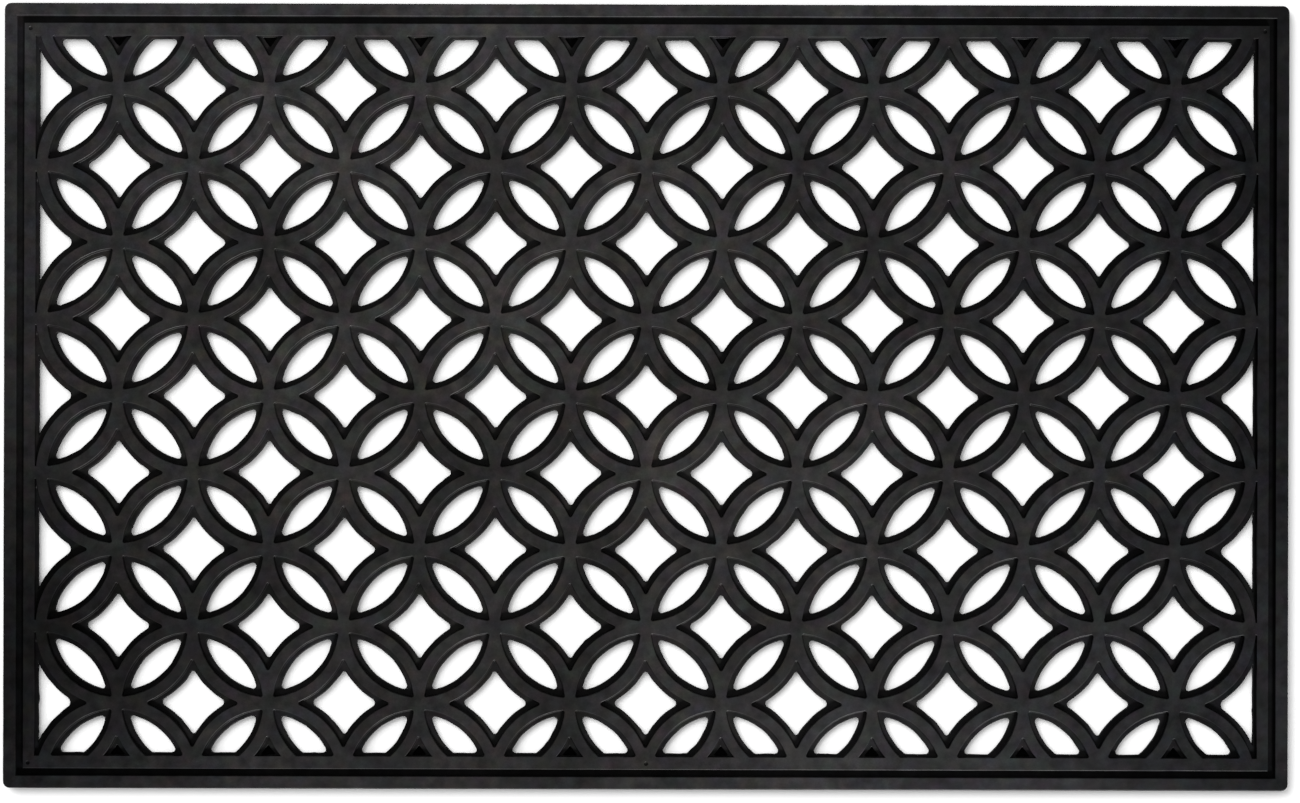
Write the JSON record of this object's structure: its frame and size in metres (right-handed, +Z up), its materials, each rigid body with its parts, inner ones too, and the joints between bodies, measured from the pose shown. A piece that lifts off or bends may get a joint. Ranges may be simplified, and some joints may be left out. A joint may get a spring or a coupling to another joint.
{
  "type": "door mat",
  "caption": "Openwork black rubber door mat with interlaced raised rings, lens and star openings, and a flat rim with a groove round it.",
  "frame": {"origin": "centre of the underside, on the surface that the mat lies on", "axes": "+X along the length, +Y across the width, +Z up out of the ribbed face"},
  "size_m": [0.75, 0.4584, 0.008],
  "materials": {
    "rubber": "matt moulded"
  },
  "bodies": {
    "root": {"outer_rim": "rubber", "groove_floor": "rubber", "inner_rim": "rubber", "lattice_row_01": "rubber", "lattice_row_02": "rubber", "lattice_row_03": "rubber", "lattice_row_04": "rubber", "lattice_row_05": "rubber", "lattice_row_06": "rubber", "lattice_row_07": "rubber", "lattice_row_08": "rubber", "lattice_row_09": "rubber", "lattice_row_10": "rubber"}
  },
  "joints": []
}
